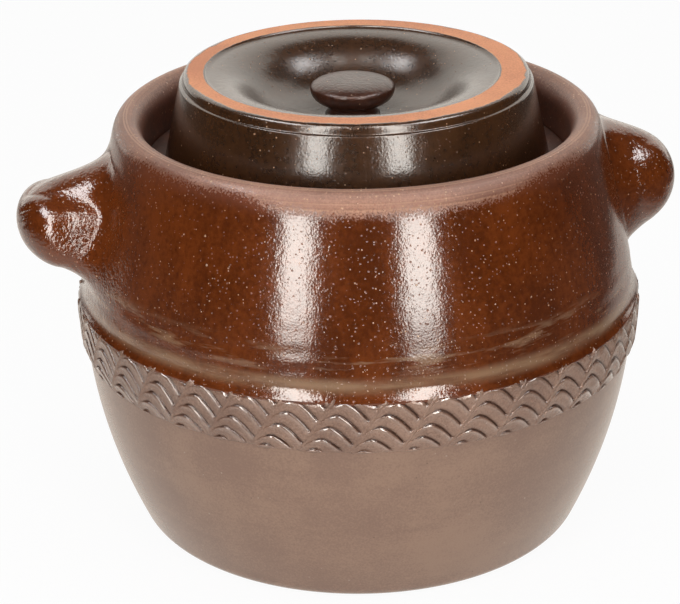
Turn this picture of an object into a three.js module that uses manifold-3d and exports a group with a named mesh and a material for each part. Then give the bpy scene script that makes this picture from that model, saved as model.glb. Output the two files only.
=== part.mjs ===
import * as THREE from 'three';
import { mergeVertices } from 'three/addons/utils/BufferGeometryUtils.js';
import Module from 'manifold-3d';

// A stoneware fermentation crock. A water channel runs round its mouth, a bell lid stands in the
// channel, and two half-round weights on the floor hold the food under its brine.
// Millimetres, +Z up, origin at the centre of the flat foot, the two ears on the X axis.

// Pot
const FOOT_RADIUS = 95.5;
const HEEL_RADIUS = 100.2;
const HEEL_ROUND = 4.5;
const HEEL_CURVE = 2.05;
const BELLY_RADIUS = 124.2;
const BELLY_HEIGHT = 105;
const SHOULDER_CURVE = 1.35;
const COLLAR_RADIUS = 107.6;
const COLLAR_WALL = 13.8;
const RIM_HEIGHT = 188.2;
const LIP_ROUND = 10;
const WALL = 9.5;
const FLOOR = 10;
const FLOOR_FILLET = 14;
const LEDGE_WIDTH = 8;
const LEDGE_EDGE = 8;
const CORBEL_HEIGHT = 24;

// Water channel inside the collar, open by the gap round the lid
const CHANNEL_DEPTH = 22;
const SHELF = 9;
const CHANNEL_FILLET = 3;
const CHANNEL_GAP = 8.8;
const NECK_WALL = 9;
const NECK_RISE = 19;
const NECK_CLEARANCE = 0.8;

// Bell lid with a sunk dish
const LID_HEIGHT = 39.8;
const LID_TAPER = 11.6;
const LID_SHOULDER = 3.8;
const LID_SHOULDER_DROP = 4.3;
const LID_WALL = 8.7;
const LID_CROWN = 9;
const RING_WIDTH = 8.7;
const DISH_DEPTH = 20.3;
const DISH_STEP = 1.2;
const DISH_WALL = 8;
const DISH_FLOOR_RADIUS = 14;
const DISH_FOOT_SHARE = 0.58;
const DISH_BROW_SHARE = 0.62;
const DISH_SHIFT = 1.7;

// Knob on the dish floor
const KNOB_RADIUS = 18.5;
const KNOB_HEIGHT = 15.2;
const KNOB_CROWN = 3.7;
const KNOB_FLAT = 8;
const KNOB_UNDERCUT = 5;
const STEM_RADIUS = 10.5;

// Ears, set by hand, so the two differ a little: how far they stand out past the belly and the gap
// from the band to their root
const LEFT_EAR_LENGTH = 26.2;
const LEFT_EAR_GAP = 2.5;
const RIGHT_EAR_LENGTH = 22.8;
const RIGHT_EAR_GAP = 6.7;
const EAR_TILT = 8;
const EAR_NOSE_RADIUS = 18.7;
const EAR_TAPER = 50;
const EAR_FLARE = 6.5;
const EAR_ROOT_RADIUS = 32.5;
const EAR_ROOT_SET = 6;
const EAR_BURY = 14;

// Rolled band under the belly
const BAND_DROP = 10.5;
const BAND_WIDTH = 26;
const BAND_TURN = -2.3;
const BAND_BASE = 2.4;
const RIDGE_RELIEF = 1.6;
const LEAF_RELIEF = 1.8;
const BAND_CELLS = 38;
const BAND_LEAVES = 4;
const RIDGE_SHARE = 0.1;
const LEAF_DROP = 8.1;
const LEAF_BEND = 1.7;
const LEAF_GROOVE = 0.04;
const LEAF_CREST = 0.86;

// Half-round weights
const WEIGHT_THICKNESS = 18;
const WEIGHT_PARTING = 3;
const WEIGHT_CLEARANCE = 1.5;
const WEIGHT_EDGE = 2;
const NOTCH_RADIUS = 15;

// Gap between pieces that are luted or rest on each other
const SEAT_GAP = 0.3;

// Points closer than this are one point
const WELD_DISTANCE = 0.001;

// Facets round the pot, the knob, an ear and a weight, and along their profiles
const POT_SIDES = 48;
const KNOB_SIDES = 28;
const EAR_SIDES = 24;
const WEIGHT_SIDES = 14;
const WALL_STEPS = 12;
const INNER_STEPS = 6;
const LIP_STEPS = 8;
const NECK_STEPS = 6;
const DISH_STEPS = 9;
const UNDER_STEPS = 6;
const KNOB_STEPS = 7;
const EAR_STEPS = 6;
const NOSE_STEPS = 4;
const FILLET_STEPS = 3;

// Levels and radii that follow from the sizes above
const lipStart = RIM_HEIGHT - LIP_ROUND;
const collarBore = COLLAR_RADIUS - COLLAR_WALL;
const channelFloor = RIM_HEIGHT - CHANNEL_DEPTH;
const shelfUnder = channelFloor - SHELF;
const ledgeHeight = shelfUnder - SEAT_GAP;
const lidFoot = channelFloor + SEAT_GAP;
const lidTop = lidFoot + LID_HEIGHT;
const dishFloor = lidTop - DISH_DEPTH;
const lidFootRadius = collarBore - CHANNEL_GAP;
const lidTopRadius = lidFootRadius - LID_TAPER;
const lidLean = (LID_TAPER - LID_SHOULDER) / (LID_HEIGHT - LID_SHOULDER_DROP);
const lidBore = (height) => lidFootRadius - LID_WALL - lidLean * (height - lidFoot);
const neckTop = channelFloor + NECK_RISE;
const neckRadius = lidBore(neckTop) - NECK_CLEARANCE;
const bandMiddle = BELLY_HEIGHT - BAND_DROP;
const bandLow = bandMiddle - BAND_WIDTH / 2;
const bandHigh = bandMiddle + BAND_WIDTH / 2;
const floorFlat = wallRadius(FLOOR) - WALL - FLOOR_FILLET;
const weightRadius = floorFlat - WEIGHT_CLEARANCE;

const wasm = await Module();
wasm.setup();

const at = (radius, height) => new THREE.Vector2(radius, height);
const lipCentre = at(COLLAR_RADIUS - COLLAR_WALL / 2, lipStart);

// Outer radius of the pot wall: one power curve below the belly and one above it
function wallRadius(height) {
  if (height < BELLY_HEIGHT) {
    const below = (BELLY_HEIGHT - height) / BELLY_HEIGHT;
    return BELLY_RADIUS - (BELLY_RADIUS - HEEL_RADIUS) * below ** HEEL_CURVE;
  }
  const above = (height - BELLY_HEIGHT) / (lipStart - BELLY_HEIGHT);
  return BELLY_RADIUS - (BELLY_RADIUS - COLLAR_RADIUS) * above ** SHOULDER_CURVE;
}

// Points on the wall between two heights, moved in or out by an offset
function wallRun(from, to, offset, steps) {
  const heights = Array.from({ length: steps + 1 }, (_, i) => from + ((to - from) * i) / steps);
  return heights.map((height) => at(wallRadius(height) + offset, height));
}

const bend = (start, lever, end, steps) =>
  new THREE.QuadraticBezierCurve(start, lever, end).getPoints(steps);

const sweep = (start, leverA, leverB, end, steps) =>
  new THREE.CubicBezierCurve(start, leverA, leverB, end).getPoints(steps);

function arc(centre, radiusX, radiusY, from, to, steps) {
  const ellipse = new THREE.EllipseCurve(centre.x, centre.y, radiusX, radiusY, from, to, from > to);
  return ellipse.getPoints(steps);
}

// Shared vertices are merged and flat triangles dropped, so the surface is closed
function weld(geometry) {
  geometry.deleteAttribute('normal');
  geometry.deleteAttribute('uv');
  const welded = mergeVertices(geometry, WELD_DISTANCE);
  const index = welded.getIndex().array;
  const kept = [];
  for (let i = 0; i < index.length; i += 3) {
    const [a, b, c] = index.subarray(i, i + 3);
    if (a !== b && b !== c && c !== a) kept.push(a, b, c);
  }
  welded.setIndex(kept);
  return welded;
}

// A profile of (radius, height) points, counter-clockwise, turned round the Z axis
function turn(profile, sides) {
  const points = profile.filter((p, i) => i === 0 || p.distanceTo(profile[i - 1]) > WELD_DISTANCE);
  return weld(new THREE.LatheGeometry(points, sides).rotateX(Math.PI / 2));
}

function toSolid(geometry) {
  const vertProperties = new Float32Array(geometry.getAttribute('position').array);
  const triVerts = new Uint32Array(geometry.getIndex().array);
  return new wasm.Manifold(new wasm.Mesh({ numProp: 3, vertProperties, triVerts }));
}

function toGeometry(solid) {
  const { vertProperties, triVerts } = solid.getMesh();
  const geometry = new THREE.BufferGeometry();
  geometry.setAttribute('position', new THREE.BufferAttribute(vertProperties, 3));
  geometry.setIndex(new THREE.BufferAttribute(triVerts, 1));
  return geometry;
}

const cut = (geometry, tool) => toGeometry(toSolid(geometry).subtract(toSolid(tool)));

// Pot: flat foot, round heel, swelling wall, rolled lip, rebate for the channel and hollow inside
function potGeometry() {
  const heelTop = at(wallRadius(HEEL_ROUND), HEEL_ROUND);
  const corbelFoot = ledgeHeight - CORBEL_HEIGHT;
  const innerWall = (height) => at(wallRadius(height) - WALL, height);
  return turn([
    at(0, 0),
    ...bend(at(FOOT_RADIUS, 0), at(HEEL_RADIUS, 0), heelTop, FILLET_STEPS),
    ...wallRun(HEEL_ROUND, lipStart, 0, WALL_STEPS),
    ...arc(lipCentre, COLLAR_WALL / 2, LIP_ROUND, 0, Math.PI, LIP_STEPS),
    at(collarBore, ledgeHeight),
    ...bend(
      at(collarBore - LEDGE_WIDTH, ledgeHeight),
      at(collarBore - LEDGE_WIDTH, ledgeHeight - LEDGE_EDGE),
      innerWall(corbelFoot),
      FILLET_STEPS,
    ),
    ...wallRun(corbelFoot, FLOOR + FLOOR_FILLET, -WALL, INNER_STEPS),
    ...bend(innerWall(FLOOR + FLOOR_FILLET), innerWall(FLOOR), at(floorFlat, FLOOR), FILLET_STEPS),
    at(0, FLOOR),
  ], POT_SIDES);
}

// The pot wall grown by the seat gap, which trims what is luted on to it
function potTrim() {
  return turn([
    at(0, HEEL_ROUND),
    ...wallRun(HEEL_ROUND, lipStart, SEAT_GAP, WALL_STEPS),
    ...arc(lipCentre, COLLAR_WALL / 2 + SEAT_GAP, LIP_ROUND + SEAT_GAP, 0, Math.PI / 2, LIP_STEPS / 2),
    at(0, RIM_HEIGHT + SEAT_GAP),
  ], POT_SIDES);
}

// Channel ring: the floor of the water channel and the neck round the mouth, set on the ledge
function channelGeometry() {
  const bore = neckRadius - NECK_WALL;
  const neckRound = NECK_WALL / 2;
  const outer = collarBore - SEAT_GAP;
  return turn([
    at(bore, shelfUnder),
    at(outer, shelfUnder),
    at(outer, channelFloor),
    ...bend(
      at(neckRadius + CHANNEL_FILLET, channelFloor),
      at(neckRadius, channelFloor),
      at(neckRadius, channelFloor + CHANNEL_FILLET),
      FILLET_STEPS,
    ),
    ...arc(at(neckRadius - neckRound, neckTop - neckRound), neckRound, neckRound, 0, Math.PI, NECK_STEPS),
    at(bore, shelfUnder),
  ], POT_SIDES);
}

// Lid: a bell with a flat ground ring on top, its dish sunk a little off centre like a funnel
function lidGeometry() {
  const crownUnder = lidTop - LID_CROWN;
  const shoulder = at(lidTopRadius + LID_SHOULDER, lidTop - LID_SHOULDER_DROP);
  const brow = at(shoulder.x - lidLean * LID_SHOULDER_DROP, lidTop);
  const dishRadius = lidTopRadius - RING_WIDTH;
  const dishUnder = dishFloor - DISH_WALL;
  const bell = turn([
    at(0, dishUnder),
    ...sweep(
      at(DISH_FLOOR_RADIUS, dishUnder),
      at(dishRadius * DISH_FOOT_SHARE, dishUnder),
      at(dishRadius * DISH_BROW_SHARE, crownUnder - DISH_STEP),
      at(dishRadius - DISH_WALL / 2, crownUnder),
      UNDER_STEPS,
    ),
    at(lidBore(crownUnder), crownUnder),
    at(lidBore(lidFoot), lidFoot),
    at(lidFootRadius, lidFoot),
    ...bend(shoulder, brow, at(lidTopRadius, lidTop), FILLET_STEPS),
    at(0, lidTop),
  ], POT_SIDES);
  const dish = turn([
    at(0, dishFloor),
    ...sweep(
      at(DISH_FLOOR_RADIUS, dishFloor),
      at(dishRadius * DISH_FOOT_SHARE, dishFloor),
      at(dishRadius * DISH_BROW_SHARE, lidTop - 2 * DISH_STEP),
      at(dishRadius - DISH_STEP, lidTop - DISH_STEP),
      DISH_STEPS,
    ),
    at(dishRadius, lidTop),
    at(dishRadius, lidTop + DISH_DEPTH),
    at(0, lidTop + DISH_DEPTH),
  ], POT_SIDES);
  return cut(bell, dish.translate(-DISH_SHIFT, 0, 0));
}

// Knob: a stem under a thick round cap
function knobGeometry() {
  const foot = dishFloor + SEAT_GAP;
  const top = foot + KNOB_HEIGHT;
  const equator = top - KNOB_CROWN;
  return turn([
    at(0, foot),
    at(STEM_RADIUS, foot),
    ...sweep(
      at(STEM_RADIUS, foot + KNOB_UNDERCUT / 2),
      at(STEM_RADIUS, foot + KNOB_UNDERCUT),
      at(KNOB_RADIUS, foot + KNOB_UNDERCUT),
      at(KNOB_RADIUS, equator),
      KNOB_STEPS,
    ),
    ...sweep(
      at(KNOB_RADIUS, equator),
      at(KNOB_RADIUS, top),
      at(KNOB_FLAT, top),
      at(0, top),
      KNOB_STEPS,
    ),
  ], KNOB_SIDES).translate(-DISH_SHIFT, 0, 0);
}

// Ear: a blunt horn with a round nose and a flared root, trimmed to the pot wall
function earGeometry(length, gap) {
  const height = bandHigh + gap + EAR_ROOT_RADIUS;
  const taper = THREE.MathUtils.degToRad(EAR_TAPER);
  const wallAt = wallRadius(height);
  const nose = at(0, BELLY_RADIUS + length - wallAt - EAR_NOSE_RADIUS);
  const shoulder = at(EAR_NOSE_RADIUS * Math.cos(taper), nose.y + EAR_NOSE_RADIUS * Math.sin(taper));
  const flare = at(shoulder.x + EAR_FLARE * Math.tan(taper), shoulder.y - EAR_FLARE);
  const horn = turn([
    at(0, -EAR_BURY),
    at(EAR_ROOT_RADIUS, -EAR_BURY),
    ...bend(at(EAR_ROOT_RADIUS, -EAR_ROOT_SET), flare, shoulder, EAR_STEPS),
    ...arc(nose, EAR_NOSE_RADIUS, EAR_NOSE_RADIUS, taper, Math.PI / 2, NOSE_STEPS),
  ], EAR_SIDES);
  horn.rotateY(Math.PI / 2 - THREE.MathUtils.degToRad(EAR_TILT));
  horn.translate(wallAt, 0, height);
  return cut(horn, potTrim());
}

// Band: leaning ridges with a stack of overlapping leaves between each two. A leaf rises slowly
// to its upper edge, drops there into a groove, and hangs lower at its far end.
function bandGeometry() {
  const leafPitch = BAND_WIDTH / BAND_LEAVES;
  const leafCount = BAND_LEAVES + Math.ceil(LEAF_DROP / leafPitch);
  const across = [0, RIDGE_SHARE, 0.5, 1 - RIDGE_SHARE];
  const rows = [bandLow];
  for (let leaf = -1; leaf <= leafCount; leaf += 1) {
    rows.push(bandLow + (leaf + LEAF_GROOVE) * leafPitch, bandLow + (leaf + LEAF_CREST) * leafPitch);
  }
  rows.push(bandHigh);
  const columns = BAND_CELLS * across.length;
  const positions = [];
  const triangles = [];
  const place = (radius, turnShare, height) => {
    const lean = (height - bandMiddle) / BAND_WIDTH;
    const angle = THREE.MathUtils.degToRad(BAND_TURN + ((turnShare + lean) / BAND_CELLS) * 360);
    positions.push(radius * Math.cos(angle), radius * Math.sin(angle), height);
  };
  for (let column = 0; column < columns; column += 1) {
    const share = across[column % across.length];
    const turnShare = Math.floor(column / across.length) + share;
    const onRidge = share === 0;
    const hang = onRidge ? LEAF_DROP / 2 : LEAF_DROP * share ** LEAF_BEND;
    place(wallRadius(bandLow) - BAND_BASE, turnShare, bandLow);
    rows.forEach((row, i) => {
      const edge = i === 0 || i === rows.length - 1;
      const height = edge ? row : THREE.MathUtils.clamp(row - hang, bandLow, bandHigh);
      const inLeaf = THREE.MathUtils.euclideanModulo((row - bandLow) / leafPitch, 1);
      const raised = onRidge ? RIDGE_RELIEF : LEAF_RELIEF * Math.sqrt(inLeaf);
      const relief = height > bandLow && height < bandHigh ? raised : 0;
      place(wallRadius(height) + BAND_BASE + relief, turnShare, height);
    });
    place(wallRadius(bandHigh) - BAND_BASE, turnShare, bandHigh);
  }
  const ring = rows.length + 2;
  for (let column = 0; column < columns; column += 1) {
    const next = (column + 1) % columns;
    for (let i = 0; i < ring; i += 1) {
      const j = (i + 1) % ring;
      const a = column * ring + i;
      const b = next * ring + i;
      const c = next * ring + j;
      const d = column * ring + j;
      triangles.push(a, b, c, a, c, d);
    }
  }
  const geometry = new THREE.BufferGeometry();
  geometry.setAttribute('position', new THREE.Float32BufferAttribute(positions, 3));
  geometry.setIndex(triangles);
  return cut(weld(geometry), potTrim());
}

// Weight: half a disc with softened edges and half a finger hole in its straight side
function weightGeometry() {
  const side = WEIGHT_PARTING / 2 + WEIGHT_EDGE;
  const reach = weightRadius - WEIGHT_EDGE;
  const corner = Math.acos(side / reach);
  const hole = NOTCH_RADIUS + WEIGHT_EDGE;
  const mouth = Math.acos(side / hole);
  const shape = new THREE.Shape();
  shape.absarc(0, 0, reach, -corner, corner, false);
  shape.absarc(0, 0, hole, mouth, -mouth, true);
  shape.closePath();
  const slab = new THREE.ExtrudeGeometry(shape, {
    depth: WEIGHT_THICKNESS - 2 * WEIGHT_EDGE,
    bevelSize: WEIGHT_EDGE,
    bevelThickness: WEIGHT_EDGE,
    bevelSegments: 1,
    curveSegments: WEIGHT_SIDES,
  });
  return weld(slab.translate(0, 0, FLOOR + SEAT_GAP + WEIGHT_EDGE));
}

const finish = (color, roughness) => new THREE.MeshStandardMaterial({ color, roughness, metalness: 0 });
const brownGlaze = finish('#5c2a14', 0.15);
const bareClay = finish('#8a7060', 0.75);
const darkGlaze = finish('#3c2f26', 0.25);
const channelGlaze = finish('#3a1d10', 0.2);
const rawWeight = finish('#b49a80', 0.8);

const crock = new THREE.Group();
crock.name = 'fermentation_crock';

function addPiece(name, geometry, material, turned = 0) {
  const mesh = new THREE.Mesh(geometry, material);
  mesh.name = name;
  mesh.rotation.z = turned;
  crock.add(mesh);
}

addPiece('crock_body', potGeometry(), brownGlaze);
addPiece('channel_ring', channelGeometry(), channelGlaze);
addPiece('braid_band', bandGeometry(), bareClay);
addPiece('right_ear', earGeometry(RIGHT_EAR_LENGTH, RIGHT_EAR_GAP), brownGlaze);
addPiece('left_ear', earGeometry(LEFT_EAR_LENGTH, LEFT_EAR_GAP), brownGlaze, Math.PI);
addPiece('lid', lidGeometry(), darkGlaze);
addPiece('lid_knob', knobGeometry(), darkGlaze);
addPiece('weight_right', weightGeometry(), rawWeight);
addPiece('weight_left', weightGeometry(), rawWeight, Math.PI);

export default crock;
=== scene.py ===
import bpy
import numpy as np
from mathutils import Matrix, Vector


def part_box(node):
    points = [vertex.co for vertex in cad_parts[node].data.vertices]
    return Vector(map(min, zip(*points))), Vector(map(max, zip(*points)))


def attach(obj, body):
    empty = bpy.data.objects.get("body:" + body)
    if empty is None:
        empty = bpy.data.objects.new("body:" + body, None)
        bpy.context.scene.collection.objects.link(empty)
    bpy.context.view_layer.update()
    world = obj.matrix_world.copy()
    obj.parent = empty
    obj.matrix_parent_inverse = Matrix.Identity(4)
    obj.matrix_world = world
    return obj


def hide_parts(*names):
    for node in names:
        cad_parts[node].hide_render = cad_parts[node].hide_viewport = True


# stoneware fermentation crock: glazed pot with a bare rolled band, bell lid in a water channel
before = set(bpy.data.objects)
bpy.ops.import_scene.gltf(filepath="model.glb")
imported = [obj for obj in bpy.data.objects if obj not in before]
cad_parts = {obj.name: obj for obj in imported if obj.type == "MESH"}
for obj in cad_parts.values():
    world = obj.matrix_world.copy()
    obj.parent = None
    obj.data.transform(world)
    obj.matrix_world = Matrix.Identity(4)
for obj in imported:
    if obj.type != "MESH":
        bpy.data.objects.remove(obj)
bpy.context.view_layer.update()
mm = 0.001
rng = np.random.default_rng(7)
print("frame loaded:", len(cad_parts), "CAD nodes")


def sizes(**lengths):
    # lengths given in millimetres, single or as a span
    return {name: tuple(end * mm for end in length) if isinstance(length, tuple) else length * mm
            for name, length in lengths.items()}


# mesh tools: every piece is a grid of points, rows along a profile and columns round the piece

def smoothStep(low, high, value):
    share = np.clip((value - low) / (high - low), 0.0, 1.0)
    return share * share * (3.0 - 2.0 * share)


def bell(value, centre, width):
    return np.exp(-((value - centre) / width) ** 2)


def fullTurn(columns):
    return np.linspace(0.0, 2 * np.pi, columns, endpoint=False)


def curve(count, *corners):
    # a Bezier curve: two corners give a straight line, and any between the ends are its levers
    share = np.linspace(0.0, 1.0, count)[:, None]
    points = [np.array(corner) for corner in corners]
    while len(points) > 1:
        points = [(1 - share) * a + share * b for a, b in zip(points[:-1], points[1:])]
    return points[0]


def arc(count, centre, radiusX, radiusY, fromDeg, toDeg):
    angle = np.radians(np.linspace(fromDeg, toDeg, count))
    return np.stack([centre[0] + radiusX * np.cos(angle), centre[1] + radiusY * np.sin(angle)], 1)


def joinRuns(*runs):
    points = np.concatenate(runs)
    steps = np.linalg.norm(np.diff(points, axis=0), axis=1)
    return points[np.concatenate([[True], steps > 1e-6])]


def softenCorners(points, radius, count=5):
    # each inner corner of a polyline becomes a short quadratic bend of that radius
    runs = [points[:1]]
    for before, corner, after in zip(points[:-2], points[1:-1], points[2:]):
        toBefore, toAfter = before - corner, after - corner
        reach = min(radius, 0.45 * np.linalg.norm(toBefore), 0.45 * np.linalg.norm(toAfter))
        runs.append(curve(count, corner + toBefore / np.linalg.norm(toBefore) * reach, corner,
                          corner + toAfter / np.linalg.norm(toAfter) * reach))
    runs.append(points[-1:])
    return np.concatenate(runs)


def softFloor(value, floor, reach):
    # values near or under a floor creep towards it and never cross it
    under = np.clip(floor + reach - value, 0.0, None)
    return np.where(under > 0, floor + reach * reach / (reach + under), value)


def addObject(name, data):
    thing = bpy.data.objects.new(name, data)
    bpy.context.scene.collection.objects.link(thing)
    return thing


def addMesh(name, vertices, faces, material):
    mesh = bpy.data.meshes.new(name)
    mesh.from_pydata(vertices, [], faces)
    mesh.materials.append(material)
    return addObject(name, mesh)


def gridPiece(name, points, material, body, node, caps=(), ringRows=False, marks=None):
    # faces join neighbouring rows and columns; a cap is a fan to a middle point, and marks are values at the points
    rows, columns = points.shape[:2]
    here = np.arange(rows if ringRows else rows - 1)[:, None]
    above = (here + 1) % rows
    column = np.arange(columns)
    beside = (column + 1) % columns
    faces = np.stack([here * columns + column, here * columns + beside,
                      above * columns + beside, above * columns + column], -1).reshape(-1, 4).tolist()
    vertices = points.reshape(-1, 3)
    last = (rows - 1) * columns
    for cap, near, far in zip(caps, (beside, last + column), (column, last + beside)):
        centre = np.full(columns, len(vertices))
        vertices = np.vstack([vertices, cap])
        faces += np.stack([centre, near, far], 1).tolist()
    piece = addMesh(name, vertices, faces, material)
    for label, values in (marks or {}).items():
        piece.data.attributes.new(label, "FLOAT", "POINT").data.foreach_set("value", values.ravel())
    piece.data.shade_smooth()
    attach(piece, body)
    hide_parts(node)
    print("piece", piece.name, "stands for", node, "with", len(piece.data.polygons), "faces")


def turned(profile, columns):
    # a profile of (radius, height) carried round the Z axis
    angle = fullTurn(columns)
    radius, height = profile[:, :1], profile[:, 1:]
    return np.stack([radius * np.cos(angle), radius * np.sin(angle),
                     np.broadcast_to(height, (len(profile), columns))], -1)


# node tools

def fill(node, inputs):
    for key, value in inputs.items():
        if isinstance(value, bpy.types.NodeSocket):
            node.id_data.links.new(value, node.inputs[key])
        else:
            node.inputs[key].default_value = value


def put(kind, inputs, **settings):
    # a new node in the tree that the sockets among its inputs belong to
    tree = next(value.id_data for value in inputs.values() if isinstance(value, bpy.types.NodeSocket))
    node = tree.nodes.new(kind)
    for key, value in settings.items():
        setattr(node, key, value)
    fill(node, inputs)
    return node


def maths(operation, *values):
    return put("ShaderNodeMath", dict(enumerate(values)), operation=operation).outputs[0]


def times(*factors):
    total = factors[0]
    for factor in factors[1:]:
        total = maths("MULTIPLY", total, factor)
    return total


def weighted(*parts):
    # sum of values, each times its weight
    total = 0.0
    for value, weight in parts:
        total = maths("MULTIPLY_ADD", value, weight, total)
    return total


def ramp(value, low, high, toLow=0.0, toHigh=1.0):
    return put("ShaderNodeMapRange",
               {"Value": value, "From Min": low, "From Max": high, "To Min": toLow, "To Max": toHigh},
               interpolation_type="SMOOTHSTEP").outputs[0]


def belt(value, middle, reach):
    # 1 at the middle value, fading to 0 at a reach on both sides
    away = maths("ABSOLUTE", maths("SUBTRACT", value, middle))
    return ramp(away, 0.0, reach, 1.0, 0.0)


def between(share, a, b):
    return put("ShaderNodeMix", {0: share, 2: a, 3: b}).outputs[0]


def blendColour(share, a, b):
    return put("ShaderNodeMix", {0: share, 6: a, 7: b}, data_type="RGBA").outputs[2]


def tinted(colour, mask, look):
    # a colour under marks of another colour, which cover it by a share
    return blendColour(times(mask, look["cover"]), colour, look["colour"])


def vectorMaths(operation, a, b=(0, 0, 0)):
    return put("ShaderNodeVectorMath", {0: a, 1: b}, operation=operation).outputs


def stretched(place, scale):
    return vectorMaths("MULTIPLY", place, scale)["Vector"]


def axis(place, name):
    return put("ShaderNodeSeparateXYZ", {0: place}).outputs[name]


def radiusOf(place):
    return vectorMaths("LENGTH", stretched(place, (1, 1, 0)))["Value"]


def noise(place, look):
    # one layer of noise; a stretch over 1 lays it in level streaks, one under 1 in upright ones
    if "stretch" in look:
        place = stretched(place, (1, 1, look["stretch"]))
    return put("ShaderNodeTexNoise", {"Vector": place, "Scale": look["scale"], "Detail": look.get("detail", 2.0),
                                      "Roughness": look.get("roughness", 0.5)}).outputs["Fac"]


def lumps(place, looks):
    # height in millimetres of several layers of noise
    return weighted(*((noise(place, look), look["height"]) for look in looks))


def wandering(value, place, sways):
    # a value shifted to and fro by each (reach, noise scale), so that an edge drawn from it isn't straight
    for reach, scale in sways:
        shift = maths("SUBTRACT", noise(place, dict(scale=scale, detail=4)), 0.5)
        value = maths("MULTIPLY_ADD", shift, reach, value)
    return value


def newGroup(name, inputs, outputs):
    tree = bpy.data.node_groups.new(name, "ShaderNodeTree")
    for label, kind, value in [("Vector", "Vector", (0, 0, 0)), *inputs]:
        socket = tree.interface.new_socket(label, in_out="INPUT", socket_type="NodeSocket" + kind)
        socket.default_value = value
    for label, kind in outputs:
        tree.interface.new_socket(label, in_out="OUTPUT", socket_type="NodeSocket" + kind)
    return tree, tree.nodes.new("NodeGroupInput").outputs, tree.nodes.new("NodeGroupOutput")


def useGroup(group, place, inputs):
    return put("ShaderNodeGroup", {"Vector": place, **inputs}, node_tree=group).outputs


def rgb(red, green, blue):
    # a colour as seen on screen, 0 to 255, in the linear values that sockets take
    shown = np.array([red, green, blue]) / 255.0
    linear = np.where(shown <= 0.04045, shown / 12.92, ((shown + 0.055) / 1.055) ** 2.4)
    return (*linear.tolist(), 1.0)


# scattered marks: some cells of a Voronoi pattern carry a round dot, the rest carry none
dot = {"least": 0.35, "core": 0.5}
scatter, inside, leave = newGroup("scatteredMarks", [
    ("Scale", "Float", 300.0), ("Share", "Float", 0.2), ("Size", "Float", 0.3)], [("Mask", "Float")])
cells = put("ShaderNodeTexVoronoi", {"Vector": inside["Vector"], "Scale": inside["Scale"]}).outputs
chance = put("ShaderNodeSeparateColor", {0: cells["Color"]}).outputs
chosen = maths("LESS_THAN", chance[0], inside["Share"])
size = times(inside["Size"], maths("ADD", chance[1], dot["least"]))
disc = ramp(cells["Distance"], times(size, dot["core"]), size, 1.0, 0.0)
fill(leave, {"Mask": times(disc, chosen)})


def dots(place, look, share=None):
    return useGroup(scatter, place, {"Scale": look["scale"], "Share": look["share"] if share is None else share,
                                     "Size": look["size"]})["Mask"]


def summed(key, looks, layers):
    # sum of the layers whose look has that key, each times its value there
    return weighted(*((layer, looks[name][key]) for name, layer in layers.items() if key in looks[name]))


# bare stoneware: broad drift of tone, faint level streaks, fine grain, iron specks and open pores. Tones are shares
# and heights millimetres, here and in the glaze
clayLook = {
    "drift": dict(scale=26, detail=4, roughness=0.55, tone=0.5),
    "streak": dict(scale=30, detail=3, stretch=9, tone=0.12, height=0.05),
    "grain": dict(scale=1100, roughness=0.6, tone=0.38, height=0.06),
    "tone": (0.38, 0.62),
    "iron": dict(scale=240, share=0.12, size=0.1, cover=0.55, colour=rgb(78, 52, 40)),
    "pale": dict(scale=420, share=0.05, size=0.16, cover=0.35, colour=rgb(205, 188, 174)),
    "pores": dict(scale=520, share=0.12, size=0.2, height=-0.05),
}
clay, inside, leave = newGroup("bareClay", [
    ("Light", "Color", rgb(160, 132, 115)), ("Dark", "Color", rgb(120, 95, 82))],
    [("Color", "Color"), ("Height", "Float")])
layers = {name: noise(inside["Vector"], clayLook[name]) for name in ("drift", "streak", "grain")}
layers |= {name: dots(inside["Vector"], clayLook[name]) for name in ("iron", "pale", "pores")}
tone = ramp(summed("tone", clayLook, layers), *clayLook["tone"])
colour = blendColour(tone, inside["Dark"], inside["Light"])
for name in ("iron", "pale"):
    colour = tinted(colour, layers[name], clayLook[name])
fill(leave, {"Color": colour, "Height": summed("height", clayLook, layers)})

# glaze: broad drift, streaks that ran down and mottling under pale specks of sand, with dull pits between them, over a
# skin that swells and is dimpled
glazeLook = {
    "drift": dict(scale=16, detail=3, tone=0.35),
    "runs": dict(scale=70, detail=4, roughness=0.6, stretch=0.3, tone=0.33),
    "mottle": dict(scale=420, detail=3, roughness=0.6, tone=0.32),
    "tone": (0.38, 0.62),
    "swell": dict(scale=60, roughness=0.4, height=0.2),
    "peel": dict(scale=380, detail=1, roughness=0.4, stretch=0.5, height=0.05),
    "skin": dict(scale=1200, detail=1, height=0.05),
    "pits": dict(scale=640, size=0.27, height=-0.07, cover=0.22, colour=rgb(150, 98, 66)),
    "grit": dict(scale=210, size=0.1, height=0.12),
    "fine": dict(scale=620, size=0.2, height=0.08),
    "specks": dict(cover=0.75, colour=rgb(206, 160, 122)),
    "grains": dict(scale=700, share=0.6, size=0.4, height=0.016),
}
glaze, inside, leave = newGroup("runGlaze", [
    ("Deep", "Color", rgb(58, 22, 8)), ("Warm", "Color", rgb(104, 46, 20)), ("Specks", "Float", 0.1),
    ("Pits", "Float", 0.2)], [("Color", "Color"), ("Height", "Float"), ("Pit", "Float")])
layers = {name: noise(inside["Vector"], glazeLook[name])
          for name in ("drift", "runs", "mottle", "swell", "peel", "skin")}
for name, share in (("pits", inside["Pits"]), ("grit", inside["Specks"]), ("fine", inside["Specks"]), ("grains", None)):
    layers[name] = dots(inside["Vector"], glazeLook[name], share)
tone = ramp(summed("tone", glazeLook, layers), *glazeLook["tone"])
colour = blendColour(tone, inside["Deep"], inside["Warm"])
colour = tinted(colour, layers["pits"], glazeLook["pits"])
colour = tinted(colour, maths("MAXIMUM", layers["fine"], layers["grit"]), glazeLook["specks"])
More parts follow.
